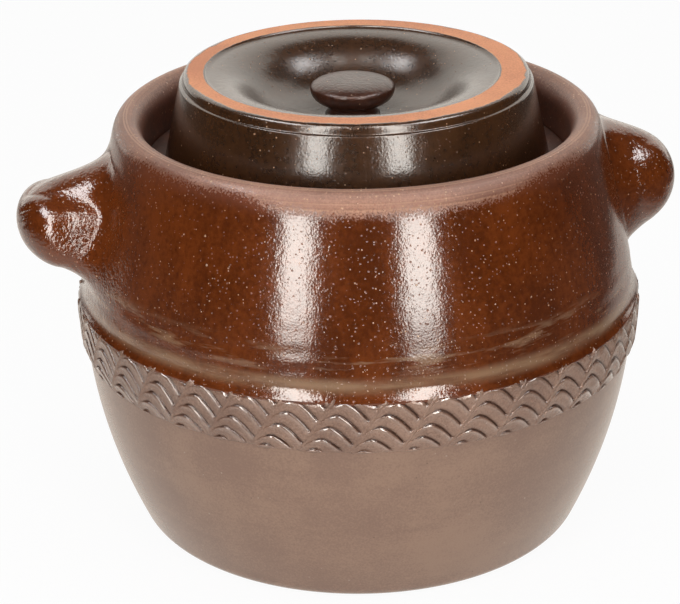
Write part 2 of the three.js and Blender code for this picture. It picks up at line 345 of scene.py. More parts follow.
fill(leave, {"Color": colour, "Height": summed("height", glazeLook, layers), "Pit": layers["pits"]})
print("node groups ready")


def newMaterial(name):
    material = bpy.data.materials.new(name)
    material.use_nodes = True
    nodes = material.node_tree.nodes
    return material, nodes["Principled BSDF"], nodes.new("ShaderNodeTexCoord").outputs["Object"]


def dress(shader, height, inputs):
    # a finish: values and links for the shader's sockets, and a relief in millimetres
    bump = put("ShaderNodeBump", {"Height": height, "Distance": mm, "Strength": 1.0})
    fill(shader, {**inputs, "Normal": bump.outputs[0]})


def plainFinish(name, group, tones, values):
    # one group all over the piece
    material, shader, place = newMaterial(name)
    skin = useGroup(group, place, tones)
    dress(shader, skin["Height"], {"Base Color": skin["Color"], **values})
    return material


# pot: flat foot, round heel, swelling wall, rolled lip, ledge for the channel ring and hollow inside
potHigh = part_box("crock_body")[1]
pot = {
    **sizes(footRadius=95.5, heelRadius=100.2, heelRound=4.5, bellyLevel=105, collarRadius=107.6, collarWall=13.8,
            lipRound=10, easeUnder=9, easeOver=3.5, wall=9.5, floor=10, fillet=14, corbel=24, ledgeDrop=31.3,
            ledgeWidth=8, ledgeCorner=0.4, ledgeEdge=0.5, capRadius=4,
            throwing=0.06, throwingPitch=8, throwingLevel=121, throwingReach=8),
    "heelCurve": 2.05, "shoulderCurve": 1.35, "columns": 288,
    # spans over which the glaze starts, thins and leaves the lip bare; the bare lip reaches lower at the front, partly
    # worn glaze and partly painted sheen on the side facing the lamps; sways are (reach, scale)
    **sizes(glazed=(95.5, 96.5), thinned=(176.5, 185.2), bared=(183.0, 187.8), dip=5.5, dipped=(-84, -104),
            pastBore=(1, 5)),
    "thinSway": [(5 * mm, 40)], "bareSway": [(3.5 * mm, 70), (13 * mm, 1100)],
    "clay": {"Light": rgb(147, 116, 96), "Dark": rgb(129, 99, 83)},
    "lip": {"Light": rgb(145, 100, 77), "Dark": rgb(112, 70, 51)},
    "glaze": {"Deep": rgb(78, 33, 9), "Warm": rgb(107, 50, 17), "Specks": 0.22, "Pits": 0.5},
    "thin": dict(cover=0.7, colour=rgb(112, 62, 42)),
    # painted reflection of the lit floor: a pale veil close over the band and streaks above it, both broken up by
    # brushed noise
    "brushed": dict(scale=26, detail=4, roughness=0.6, stretch=7), "paintedReflectionColour": rgb(158, 127, 98),
    "paintedReflections": [dict(noise=(0.36, 0.58), cover=(0.3, 0.68), **sizes(level=112.2, reach=4.8)),
               dict(noise=(0.5, 0.62), cover=(0.0, 0.5), **sizes(level=122, reach=9))],
    # throwing lines round the lip, its rust and straw specks, and sand where the glaze is thin
    "rings": dict(scale=900, roughness=0.6, height=0.12),
    "ringTones": [dict(noise=(0.52, 0.66), cover=0.3, colour=rgb(104, 56, 36)),
                  dict(noise=(0.48, 0.34), cover=0.3, colour=rgb(196, 150, 118))],
    "lipSpecks": [dict(scale=900, share=0.3, size=0.45, cover=0.45, colour=rgb(118, 58, 34)),
                  dict(scale=780, share=0.2, size=0.35, cover=0.4, colour=rgb(206, 166, 122))],
    "sand": dict(scale=480, share=0.3, size=0.2, cover=0.5, colour=rgb(226, 186, 156), height=0.06),
    # the ears, out past a span and up past another, are worked by hand; a thumb made the glaze of the left one crawl
    **sizes(handledOut=(106, 118), handledUp=(106, 114), crawlPlace=(-120, -39, 140), crawlReach=27),
    "worked": [dict(scale=210, detail=3, roughness=0.55, height=0.35),
               dict(scale=560, height=0.2)],
    "crawled": [dict(scale=850, height=0.3),
                dict(scale=420, height=0.28)],
    # roughness, and the coat's weight on full and on thin glaze
    "rough": dict(clay=0.2, glaze=(0.1, 0.24), pit=0.42, lip=0.58, inside=0.5),
    "coat": (0.16, 0.45), "shader": {"IOR": 1.6, "Coat IOR": 1.5, "Coat Roughness": 0.24},
}
belly = potHigh.y
rim = potHigh.z
lipStart = rim - pot["lipRound"]
collarBore = pot["collarRadius"] - pot["collarWall"]

bandLow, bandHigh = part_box("braid_band")
band = {
    "low": bandLow.z, "high": bandHigh.z, "cells": 38, "turn": -97.7, "lean": 0.58, "leaves": range(-2, 5),
    **sizes(firstGroove=89.2, pitch=5.65, pitchWander=0.3, base=2.2, foot=0.9, footRound=1.2, footBlend=(0.5, 8),
            back=2, topDrop=0.4, sink=1.0, ragged=0.9, bottomGap=0.1, bottomRise=0.7, edgeReach=0.7, topSink=1.4,
            topSinkReach=1.1, ridge=0.45, leaf=0.45, groove=1.0, brow=1.3, under=0.9, shadeOver=0.45, shadeUnder=0.9,
            shineOver=0.8, shineReach=0.6, drop=8.3, hook=0.6,
            flare=2.0, flareTop=110.6, flareFoot=106.1, flareEnd=(102.8, 105.3),
            fadeAbove=(0.2, 2), fadeUnder=(0.1, 1)),
    "depthWander": 0.22, "raggedSpan": (-1.6, 0.6), "raggedWaves": 150, "ridgeShare": 0.035, "flareCurve": 1.7,
    "dropFrom": 0.27, "dropShare": 0.69, "dropCurve": 1.35, "hookShare": 0.11, "peakShare": 0.14, "toe": (0.25, 0.2),
    "leafStart": (0.01, 0.06), "leafEnd": (0.955, 0.995), "leafPivot": 0.3, "grooveStart": (0.1, 0.2),
    "grooveEnd": (0.93, 0.965), "shadeSpan": (0.0, 0.6),
    "shares": [0, 0.02, 0.045, 0.075, 0.11, 0.15, 0.19, 0.23, 0.27, 0.32, 0.38, 0.45, 0.53, 0.61, 0.69, 0.77, 0.84,
               0.9, 0.94, 0.965, 0.985],
    "places": [0, 0.03, 0.06, 0.12, 0.3, 0.55, 0.75, 0.825, 0.865, 0.905, 0.94, 0.97, 0.99],
    "clay": {"Light": rgb(150, 119, 101), "Dark": rgb(121, 92, 77)},
    # painted shade laid along the grooves
    "shade": dict(cover=0.85, colour=rgb(70, 42, 32)),
    "patches": dict(scale=260, detail=3, noise=(0.35, 0.65), rough=(0.22, 0.4)),
    "lumps": dict(scale=420, detail=3, roughness=0.6, height=0.3),
    "browRough": 0.14, "shader": {"Coat Roughness": 0.1, "Coat IOR": 2.0},
}


def shoulderRadius(height):
    # belly radius less one power curve below the belly and another above it
    below = np.clip((pot["bellyLevel"] - height) / pot["bellyLevel"], 0, 1)
    above = np.clip((height - pot["bellyLevel"]) / (lipStart - pot["bellyLevel"]), 0, 1)
    return (belly - (belly - pot["heelRadius"]) * below ** pot["heelCurve"]
            - (belly - pot["collarRadius"]) * above ** pot["shoulderCurve"])


easeFrom, easeTo = lipStart - pot["easeUnder"], lipStart + pot["easeOver"]
lipTurn = np.arcsin(pot["easeOver"] / pot["lipRound"])
easeStart = shoulderRadius(easeFrom)
easeEnd = pot["collarRadius"] - pot["collarWall"] / 2 * (1 - np.cos(lipTurn))
easeStartSlope = (shoulderRadius(easeFrom + 0.1 * mm) - easeStart) / (0.1 * mm)
easeEndSlope = -pot["collarWall"] / 2 * np.tan(lipTurn) / pot["lipRound"]


def wallRadius(height):
    # the shoulder curve, and near the lip a cubic that eases from it into the round of the lip
    span = easeTo - easeFrom
    share = np.clip((height - easeFrom) / span, 0, 1)
    rest = 1 - share
    eased = ((1 + 2 * share) * rest ** 2 * easeStart + share * rest ** 2 * span * easeStartSlope
             + share ** 2 * (3 - 2 * share) * easeEnd - share ** 2 * rest * span * easeEndSlope)
    return np.where(height > easeFrom, eased, shoulderRadius(height))


def glazeFlare(height):
    # the glaze runs out over the top of the band, and ends behind it
    rise = np.clip((band["flareTop"] - height) / (band["flareTop"] - band["flareFoot"]), 0, 1)
    return band["flare"] * rise ** band["flareCurve"] * smoothStep(*band["flareEnd"], height)


def potSurface():
    # the profile turned round, with a few soft throwing rings above the band that come and go
    levels = np.linspace(pot["heelRound"], easeTo, 196)
    wallLine = np.stack([wallRadius(levels) + glazeFlare(levels), levels], 1)
    ledge = rim - pot["ledgeDrop"]
    ledgeIn = collarBore - pot["ledgeWidth"]
    inner = np.linspace(ledge - pot["corbel"], pot["floor"] + pot["fillet"], 26)
    innerLine = np.stack([wallRadius(inner) - pot["wall"], inner], 1)
    heelTop = [wallRadius(pot["heelRound"]), pot["heelRound"]]
    floorIn = wallRadius(pot["floor"]) - pot["wall"]
    floorEdge = [floorIn - pot["fillet"], pot["floor"]]
    profile = joinRuns(
        curve(10, [pot["capRadius"], 0], [pot["footRadius"], 0]),
        curve(10, [pot["footRadius"], 0], [pot["heelRadius"], 0], heelTop),
        wallLine,
        arc(40, [pot["collarRadius"] - pot["collarWall"] / 2, lipStart], pot["collarWall"] / 2, pot["lipRound"],
            np.degrees(lipTurn), 180),
        curve(8, [collarBore, lipStart - 1 * mm], [collarBore, ledge + pot["ledgeCorner"]]),
        curve(4, [collarBore - pot["ledgeCorner"], ledge], [ledgeIn + pot["ledgeEdge"], ledge]),
        curve(12, [ledgeIn, ledge - pot["ledgeEdge"]], [ledgeIn, ledge - pot["corbel"] / 3], innerLine[0]),
        innerLine,
        curve(10, innerLine[-1], [floorIn, pot["floor"]], floorEdge),
        curve(8, floorEdge, [pot["capRadius"], pot["floor"]]),
    )
    points = turned(profile, pot["columns"])
    turn = fullTurn(pot["columns"])[None, :]
    level = profile[:, 1:]
    outside = (profile[:, :1] > wallRadius(level) - 3 * mm) & (level < lipStart)
    wave = np.sin(2 * np.pi * level / pot["throwingPitch"] + 1.3 * np.sin(2 * turn) + 0.8 * np.sin(5 * turn + 1))
    wave = wave * (0.6 + 0.4 * np.sin(3 * turn + 2)) * bell(level, pot["throwingLevel"], pot["throwingReach"])
    points[..., :2] *= (1 + pot["throwing"] * wave * outside / belly)[..., None]
    return points


potFinish, shader, place = newMaterial("potFinish")
level, radius = axis(place, "Z"), radiusOf(place)
clayOut = useGroup(clay, place, pot["clay"])
lipOut = useGroup(clay, place, pot["lip"])
glazeOut = useGroup(glaze, place, pot["glaze"])

# masks: glaze over clay, thin glaze, bare lip, and the outside of the pot
glazed = ramp(level, *pot["glazed"])
thin = ramp(wandering(level, place, pot["thinSway"]), *pot["thinned"])
# the bare lip reaches lower at the front: partly worn glaze, partly painted sheen
dip = ramp(axis(place, "Y"), *pot["dipped"], 0.0, pot["dip"])
bare = ramp(wandering(maths("ADD", level, dip), place, pot["bareSway"]), *pot["bared"])
gloss = times(glazed, maths("SUBTRACT", 1.0, bare))
outward = ramp(maths("SUBTRACT", radius, collarBore), *pot["pastBore"])

# colour: glaze that pales as it thins, with pale painted reflections of the floor over it; the bare lip with its lines
# and specks; bare clay below
brushed = noise(place, pot["brushed"])
# pale colour laid where the glaze mirrors the lit floor: painted reflection
paintedReflections = [times(belt(level, look["level"], look["reach"]), ramp(brushed, *look["noise"], *look["cover"]))
          for look in pot["paintedReflections"]]
colour = tinted(glazeOut["Color"], thin, pot["thin"])
colour = blendColour(maths("MAXIMUM", *paintedReflections), colour, pot["paintedReflectionColour"])
profile = put("ShaderNodeCombineXYZ", {"X": radius, "Y": level, "Z": 0.0}).outputs[0]
rings = noise(profile, pot["rings"])
lipTone = lipOut["Color"]
for look in pot["ringTones"]:
    lipTone = tinted(lipTone, ramp(rings, *look["noise"]), look)
for look in pot["lipSpecks"]:
    lipTone = tinted(lipTone, dots(place, look), look)
sand = dots(place, pot["sand"])
colour = blendColour(bare, colour, lipTone)
colour = tinted(colour, times(sand, thin), pot["sand"])
colour = blendColour(glazed, clayOut["Color"], colour)

rough = pot["rough"]
glazeRough = between(bare, ramp(thin, 0, 1, *rough["glaze"]), rough["lip"])
outerRough = between(times(gloss, glazeOut["Pit"]), between(glazed, rough["clay"], glazeRough), rough["pit"])

# relief: the glaze, worked on the ears and crawled under the thumb, or the clay with sand and throwing lines
sideways = maths("ABSOLUTE", axis(place, "X"))
handled = times(ramp(sideways, *pot["handledOut"]), ramp(level, *pot["handledUp"]))
fromThumb = vectorMaths("DISTANCE", place, pot["crawlPlace"])["Value"]
crawling = ramp(fromThumb, 0.5 * pot["crawlReach"], pot["crawlReach"], 1.0, 0.0)
glazeRelief = weighted((glazeOut["Height"], 1.0), (handled, lumps(place, pot["worked"])),
                       (crawling, lumps(place, pot["crawled"])))
clayRelief = weighted((clayOut["Height"], 1.0), (sand, pot["sand"]["height"]),
                      (times(rings, bare), pot["rings"]["height"]))
dress(shader, between(gloss, clayRelief, glazeRelief), {
    "Base Color": colour, "Roughness": between(outward, rough["inside"], outerRough),
    "Coat Weight": times(gloss, outward, ramp(thin, 0, 1, *pot["coat"])), **pot["shader"]})
gridPiece("pot", potSurface(), potFinish, "crock", "crock_body", [(0, 0, 0), (0, 0, pot["floor"])])


# rolled band: leaning ridges with leaves stacked between them. Columns keep their share of a cell and lean with the
# height; rows keep their place in a leaf, and hang lower towards its far end. A leaf rises gently and ends in a round
# brow under the next leaf's sharp edge
def bandSurface():
    cells, leaves = band["cells"], band["leaves"]
    share = np.tile(band["shares"], cells)[None, :]
    cell = np.repeat(np.arange(cells), len(band["shares"]))[None, :]
    leaf = np.repeat(leaves, len(band["places"]))[:, None]
    inLeaf = np.tile(band["places"], len(leaves))[:, None]
    shift = rng.normal(0, band["pitchWander"], (len(leaves) + 1, cells))
    depth = 1 + rng.normal(0, band["depthWander"], (len(leaves) + 1, cells))
    edge = leaf - leaves[0]
    leafShift = shift[edge, cell] * (1 - inLeaf) + shift[edge + 1, cell] * inLeaf
    leafDepth = np.where(inLeaf < 0.5, depth[edge, cell], depth[edge + 1, cell])
    onLeaf = smoothStep(*band["leafStart"], share) * (1 - smoothStep(*band["leafEnd"], share))
    hang = (band["drop"] * np.clip((share - band["dropFrom"]) / band["dropShare"], 0, 1) ** band["dropCurve"]
            + band["hook"] * (np.clip(band["dropFrom"] - share, 0, 1) / band["hookShare"]) ** 2)
    hang = hang * onLeaf + band["drop"] / 2 * (1 - onLeaf)
    toRidge = np.minimum(share, 1 - share)
    waves = np.fft.rfft(rng.normal(0, 1, share.size)) * (np.arange(share.size // 2 + 1) < band["raggedWaves"])
    sway = np.clip(np.fft.irfft(waves, share.size), *band["raggedSpan"])
    sunk = band["sink"] * (1 - bell(toRidge, 0, band["peakShare"]))
    top = band["high"] - band["topDrop"] - sunk + band["ragged"] * sway
    bottom = band["low"] + band["bottomGap"] + band["bottomRise"] * (1 - bell(share, *band["toe"]))
    level = band["firstGroove"] + (leaf + inLeaf) * band["pitch"] + leafShift * onLeaf - hang
    level = softFloor(level, bottom, band["edgeReach"])
    level = -softFloor(-level, -top, band["edgeReach"])
    above, under = level - bottom, top - level
    base = (band["foot"] * np.sqrt(1 - (1 - np.clip(above / band["footRound"], 0, 1)) ** 2)
            + (band["base"] - band["foot"]) * smoothStep(*band["footBlend"], above))
    browward, edgeward = (1 - inLeaf) * band["pitch"], inLeaf * band["pitch"]
    brow = 1 - np.sqrt(1 - (1 - np.clip(browward / band["brow"], 0, 1)) ** 2)
    groove = np.maximum(brow, 1 - np.clip(edgeward / band["under"], 0, 1))
    shade = np.maximum(1 - browward / band["shadeOver"], 1 - edgeward / band["shadeUnder"])
    reach = smoothStep(*band["grooveStart"], share) * (1 - smoothStep(*band["grooveEnd"], share))
    fade = smoothStep(*band["fadeAbove"], above) * smoothStep(*band["fadeUnder"], under)
    relief = (band["ridge"] * bell(toRidge, 0, band["ridgeShare"])
              + band["leaf"] * (inLeaf - band["leafPivot"]) * onLeaf - band["groove"] * groove * leafDepth * reach)
    sinking = band["topSink"] * (1 - smoothStep(0, band["topSinkReach"], under))
    outer = wallRadius(level) + base + relief * fade - sinking
    lean = band["lean"] * (level - (band["low"] + band["high"]) / 2) / belly
    angle = np.radians(band["turn"]) + 2 * np.pi * (cell + share) / cells + lean
    # a row behind the first and one behind the last lie inside the wall and close the ring
    ends = [0, *range(len(level)), -1]
    outer, level, angle = outer[ends], level[ends], angle[ends]
    outer[[0, -1]] = wallRadius(level[[0, -1]]) - band["back"]
    # the groove mark is painted shade: a darker colour along the edges of each groove, where shade falls
    marks = {"groove": smoothStep(*band["shadeSpan"], shade),
             "brow": bell(browward, band["shineOver"], band["shineReach"])}
    marks = {name: np.pad(values * fade * reach, ((1, 1), (0, 0))) for name, values in marks.items()}
    return np.stack([outer * np.cos(angle), outer * np.sin(angle), level], -1), marks


bandFinish, shader, place = newMaterial("bandFinish")
clayOut = useGroup(clay, place, band["clay"])
attributes = {}
for name in ("groove", "brow"):
    node = place.id_data.nodes.new("ShaderNodeAttribute")
    node.attribute_name = name
    attributes[name] = node.outputs["Fac"]
look = band["patches"]
patchy = ramp(noise(place, look), *look["noise"], *look["rough"])
# the grooves are darkened with painted shade, a share of the shade colour over the clay
dress(shader, weighted((clayOut["Height"], 1.0), (lumps(place, [band["lumps"]]), 1.0)), {
    "Base Color": tinted(clayOut["Color"], attributes["groove"], band["shade"]),
    "Roughness": between(attributes["brow"], patchy, band["browRough"]), "Coat Weight": attributes["brow"],
    **band["shader"]})
points, marks = bandSurface()
gridPiece("rolledBand", points, bandFinish, "crock", "braid_band", ringRows=True, marks=marks)

# ears: blunt horns drawn out of the wall. A meridian leaves the ball nose with a taper in degrees, runs straight, bends
# with a lead and lands at the root, which differs upward, downward and sideways. The left ear is pressed to a
# three-sided section, a power sum over flats as (facing, share of the radius). Near the root the rings follow the wall
ears = {
    "right": dict(
        node="right_ear", side=1, tilt=1.5, spread=0.53, sides=0.0, deep=1.0,
        **sizes(level=147.3, reach=145.2, nose=22.5, slant=0, pressed=0, thumb=0),
        up=dict(taper=42, **sizes(root=34, straight=0, lead=14, land=5)),
        down=dict(taper=30, **sizes(root=29, straight=0, lead=8, land=4)),
        sideways=dict(taper=10, **sizes(straight=2, lead=2, land=1.5))),
    "left": dict(
        node="left_ear", side=-1, tilt=6.5, spread=0.35, sides=1.0, deep=1.3,
        **sizes(level=142.5, reach=151, nose=19.8, slant=10, pressed=0.6, thumb=0.8),
        up=dict(taper=46, **sizes(root=35, straight=0, lead=12, land=9)),
        down=dict(taper=46, **sizes(root=27, straight=0, lead=12, land=7)),
        sideways=dict(taper=2, **sizes(straight=6, lead=5, land=20))),
    "flats": [(0, 0.86), (80, 1.0), (-80, 1.0), (180, 0.8)], "flatPower": 3, "upPower": 7, "downPower": 4,
    "columns": 112, "fingerClimb": 0.7, "pressSpan": (0.4, 0.6), "freeShare": 0.75,
    **sizes(lift=0.03, buried=3, thumbRise=15, thumbReach=5, fingers=(2, 6, 10), fingerWide=1.0, fingerPlace=12,
            fingerReach=6),
}


def earSurface(ear):
    turn = fullTurn(ears["columns"])[None, :]
    upward = np.clip(np.cos(turn), 0, 1) ** ears["upPower"]
    downward = np.clip(-np.cos(turn), 0, 1) ** ears["downPower"]

    def mixed(up, down, sideways):
        return up * upward + down * downward + sideways * (1 - upward - downward)

    def around(key):
        return mixed(ear["up"][key], ear["down"][key], ear["sideways"][key])

    power, lift = ears["flatPower"], ears["lift"]
    flats = sum(np.clip(np.cos(turn - np.radians(facing)) / away, 0, None) ** power for facing, away in ears["flats"])
    section = 1 + ear["sides"] * (flats ** (-1 / power) - 1)
    wallHere = wallRadius(np.array(ear["level"]))
    length = ear["reach"] - wallHere
    taper, lead, land = np.radians(around("taper")), around("lead"), around("land")
    straight = around("straight") + ear["slant"] * np.cos(turn) * np.sin(turn) ** 2
    share = np.linspace(0, 1, 30)[:, None]
    tip = np.radians(89) * (1 - share) + taper * share
    noseAway = ear["nose"] * np.cos(tip) * (1 + (section - 1) * share ** 2)
    noseRise = length - ear["nose"] + ear["nose"] * np.sin(tip)
    share = np.linspace(0, 1, 9)[1:, None]
    sideAway = noseAway[-1] + share * straight * np.sin(taper)
    sideRise = noseRise[-1] - share * straight * np.cos(taper) - share * 0.01 * mm
    root = mixed(ear["up"]["root"], ear["down"]["root"], sideAway[-1] + land + ear["spread"] * sideRise[-1])
    flankAway = curve(50, sideAway[-1], sideAway[-1] + lead * np.sin(taper), root - land, root)[1:]
    flankRise = curve(50, sideRise[-1], sideRise[-1] - lead * np.cos(taper), lift, lift)[1:]
    away = np.concatenate([noseAway, sideAway, flankAway, root + 0.05 * mm, root + 0.1 * mm])
    rise = np.concatenate([noseRise, sideRise, flankRise, np.full_like(root, lift),
                           np.full_like(root, -ears["buried"])])
    # a thumb has pressed the flank in a little behind the nose
    away = away - (ear["thumb"] * bell(rise, ears["thumbRise"], ears["thumbReach"])
                   * np.clip(ear["side"] * np.sin(turn), 0, 1))
    across, up = ear["deep"] * away * np.sin(turn), away * np.cos(turn)
    # finger marks: three shallow presses that climb across the front of the nose
    front = ear["side"] * across
    climbing = up - ears["fingerClimb"] * (front - ears["fingerPlace"])
    press = sum(bell(climbing, finger, ears["fingerWide"]) for finger in ears["fingers"])
    press = press * bell(front, ears["fingerPlace"], ears["fingerReach"])
    rise = rise - ear["pressed"] * press * smoothStep(*np.multiply(ears["pressSpan"], length), rise)
    level = ear["level"] + up
    onWall = np.sqrt(wallRadius(level) ** 2 - across ** 2)
    free = smoothStep(0.5 * mm, length * ears["freeShare"], rise)
    x = onWall * (1 - free) + wallHere * free + rise
    z = level + np.tan(np.radians(ear["tilt"])) * np.clip(rise, 0, None)
    return np.stack([ear["side"] * x, -ear["side"] * across, z], -1)[::-1]


for name in ("right", "left"):
    points = earSurface(ears[name])
    gridPiece(name + "Ear", points, potFinish, "crock", ears[name]["node"], points[[0, -1]].mean(1))

# water channel: floor and neck round the mouth
channelLow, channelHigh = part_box("channel_ring")
channel = {**sizes(depth=22, neckRadius=71.4, neckWall=9, fillet=4, floorIn=8, edge=0.6), "columns": 192,
           "glaze": {"Deep": rgb(44, 18, 8), "Warm": rgb(74, 34, 16), "Specks": 0.06, "Pits": 0.25},
           "shader": {"Roughness": 0.55, "IOR": 1.6}}
channelFloor = rim - channel["depth"]
neckRadius, neckRound = channel["neckRadius"], channel["neckWall"] / 2
bore = neckRadius - channel["neckWall"]
channelProfile = joinRuns(
    softenCorners(np.array([[bore, channelFloor], [bore, channelLow.z], [channelHigh.x, channelLow.z],
                            [channelHigh.x, channelFloor], [neckRadius + channel["floorIn"], channelFloor]]),
                  channel["edge"]),
    curve(8, [neckRadius + channel["fillet"], channelFloor], [neckRadius, channelFloor],
          [neckRadius, channelFloor + channel["fillet"]]),
    arc(20, [neckRadius - neckRound, channelHigh.z - neckRound], neckRound, neckRound, 0, 180),
)
channelFinish = plainFinish("channelFinish", glaze, channel["glaze"], channel["shader"])
gridPiece("waterChannel", turned(channelProfile, channel["columns"]), channelFinish,
          "crock", "channel_ring", ringRows=True)

# lid: a bell whose skirt flares to the channel, a stepped shoulder, a flat ground ring on top and a funnel dish.
# The dish and the inner edge of the ring sit a little off centre
lidLow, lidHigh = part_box("lid")
lid = {
    "footRadius": lidHigh.y, "columns": 256, "underBends": (0.58, 0.62), "dishBends": (0.58, 0.78),
    **sizes(topRadius=73.4, shoulder=3.8, shoulderDrop=4.3, stepWide=1.1, stepTall=0.4, stepRound=0.55, footRound=1.2,
            wall=8.7, crown=9, ring=8.7, dishDepth=20.3, dishStep=1.2, dishWall=8, dishFloor=14, dishShift=1.7,
            capRadius=3),
    # spans over which the ring is ground bare, from edges that wander; the glaze is rougher in the dish
    **sizes(outerEdge=(0.4, -0.4), innerEdge=(0, 0.4), groundUnder=(0.7, 0.3), dishEdge=(-2, 2)),
    "outerSway": [(2.2 * mm, 220), (3.5 * mm, 28)], "innerSway": [(0.8 * mm, 260)],
    "clay": {"Light": rgb(224, 142, 87), "Dark": rgb(192, 111, 61)},
    "glaze": {"Deep": rgb(46, 26, 10), "Warm": rgb(68, 40, 18), "Specks": 0.1, "Pits": 0.25},
    "rough": (0.23, 0.19), "groundRough": 0.7, "coat": 0.06, "shader": {"Coat Roughness": 0.45, "IOR": 1.6},
}
lidTop, lidFoot = lidHigh.z, lidLow.z
dishRadius = lid["topRadius"] - lid["ring"]
dishLevel = lidTop - lid["dishDepth"]
dishUnder = dishLevel - lid["dishWall"]
crownUnder = lidTop - lid["crown"]


def lidSurface():
    # a profile turned round, of which the dish and half the ring are shifted
    floor, step, cap = lid["dishFloor"], lid["dishStep"], lid["capRadius"]
    underBends, dishBends = (np.multiply(lid[key], dishRadius) for key in ("underBends", "dishBends"))
    crownIn, skirtIn = dishRadius - lid["dishWall"] / 2, lid["footRadius"] - lid["wall"]
    shoulder = np.array([lid["topRadius"] + lid["shoulder"], lidTop - lid["shoulderDrop"]])
    lean = (lid["footRadius"] - shoulder[0]) / (shoulder[1] - lidFoot)
    downward = np.array([lean, -1.0])
    stair = shoulder + np.array([-lid["stepWide"], lid["stepTall"]])
    under = curve(24, [floor, dishUnder], [underBends[0], dishUnder], [underBends[1], crownUnder - step],
                  [crownIn, crownUnder])
    skirt = softenCorners(np.array([
        [crownIn + 1 * mm, crownUnder], [skirtIn - lean * (crownUnder - lidFoot), crownUnder], [skirtIn, lidFoot],
        [lid["footRadius"], lidFoot], shoulder + downward * 8 * mm]), lid["footRound"])
    flank = curve(14, skirt[-1], shoulder + downward * 1.5 * mm)[1:]
    stairs = softenCorners(np.array([flank[-1], shoulder, stair, stair + np.array([-0.2, 0.9]) * mm]),
                           lid["stepRound"])[1:]
    edge = curve(12, stairs[-1], [stairs[-1][0] - 0.3 * mm, lidTop - 0.2 * mm], [lid["topRadius"], lidTop])
    ring = curve(12, [lid["topRadius"] - 0.3 * mm, lidTop], [dishRadius + 0.5 * mm, lidTop])
    lip = curve(5, [dishRadius + 0.3 * mm, lidTop], [dishRadius - 0.1 * mm, lidTop],
                [dishRadius - 0.25 * mm, lidTop - 0.5 * mm])
    dish = curve(60, [dishRadius - step, lidTop - step], [dishBends[0], lidTop - 2 * step],
                 [dishBends[1], dishLevel], [floor, dishLevel])
    centred = joinRuns(curve(4, [cap, dishUnder], [floor, dishUnder]), under, skirt, flank, stairs, edge)
    shifted = joinRuns(ring[6:], lip, dish, curve(5, [floor, dishLevel], [cap, dishLevel]))
    points = turned(np.concatenate([centred, ring[:6], shifted]), lid["columns"])
    moved = np.concatenate([np.zeros(len(centred)), np.linspace(0, 1, 6), np.ones(len(shifted))])
    points[..., 0] -= lid["dishShift"] * moved[:, None]
    return points


lidFinish, shader, place = newMaterial("lidFinish")
clayOut = useGroup(clay, place, lid["clay"])
glazeOut = useGroup(glaze, place, lid["glaze"])
fromDish = vectorMaths("ADD", place, (lid["dishShift"], 0, 0))["Vector"]
pastRing = maths("SUBTRACT", wandering(radiusOf(place), place, lid["outerSway"]), lid["topRadius"])
pastDish = maths("SUBTRACT", wandering(radiusOf(fromDish), place, lid["innerSway"]), dishRadius)
underTop = maths("SUBTRACT", lidTop, axis(place, "Z"))
ground = times(ramp(pastDish, *lid["innerEdge"]), ramp(pastRing, *lid["outerEdge"]),
               ramp(underTop, *lid["groundUnder"]))
rough = ramp(pastDish, *lid["dishEdge"], *lid["rough"])
dress(shader, between(ground, glazeOut["Height"], clayOut["Height"]), {
    "Base Color": blendColour(ground, glazeOut["Color"], clayOut["Color"]),
    "Roughness": between(ground, rough, lid["groundRough"]),
    "Coat Weight": times(maths("SUBTRACT", 1.0, ground), lid["coat"]), **lid["shader"]})
dishHeart = (-lid["dishShift"], 0)
gridPiece("bellLid", lidSurface(), lidFinish, "lid", "lid",
          [(0, 0, dishUnder), (*dishHeart, dishLevel)])

# knob: stem under a thick round cap, in the middle of the dish
knobLow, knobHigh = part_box("lid_knob")
knob = {**sizes(radius=18.5, crown=3.7, flat=8, undercut=5, stem=10.5, stemFoot=1.5), "columns": 128,
        "glaze": {"Deep": rgb(48, 24, 15), "Warm": rgb(76, 42, 28), "Specks": 0.12, "Pits": 0.2}, "glazeRelief": 1.5,
        "lumps": dict(scale=480, detail=3, roughness=0.6, height=0.25), "shader": {"Roughness": 0.3, "IOR": 1.42}}
stem, knobFoot, knobTop = knob["stem"], knobLow.z, knobHigh.z
equator, stemTop, capUnder = knobTop - knob["crown"], knobFoot + knob["undercut"] / 2, knobFoot + knob["undercut"]
knobProfile = joinRuns(
    curve(6, [2 * mm, knobFoot], [stem + knob["stemFoot"], knobFoot]),
    curve(6, [stem + knob["stemFoot"], knobFoot], [stem, knobFoot], [stem, stemTop]),
    curve(24, [stem, stemTop], [stem, capUnder], [knob["radius"], capUnder], [knob["radius"], equator]),
    curve(24, [knob["radius"], equator], [knob["radius"], knobTop], [knob["flat"], knobTop], [1.5 * mm, knobTop]),
)
knobFinish, shader, place = newMaterial("knobFinish")
glazeOut = useGroup(glaze, place, knob["glaze"])
relief = weighted((glazeOut["Height"], knob["glazeRelief"]), (lumps(place, [knob["lumps"]]), 1.0))
dress(shader, relief, {"Base Color": glazeOut["Color"], **knob["shader"]})
points = turned(knobProfile, knob["columns"]) - np.array([lid["dishShift"], 0, 0])
gridPiece("lidKnob", points, knobFinish, "lid", "lid_knob",
          [(*dishHeart, knobFoot), (*dishHeart, knobTop)])

# weights: half discs; an outline of arc, straight side and finger notch carries a rounded edge profile
weight = {**sizes(edge=2, notch=15, parting=1.5, heart=42), "shader": {"Roughness": 0.75},
          "clay": {"Light": rgb(196, 170, 144), "Dark": rgb(160, 132, 108)}}


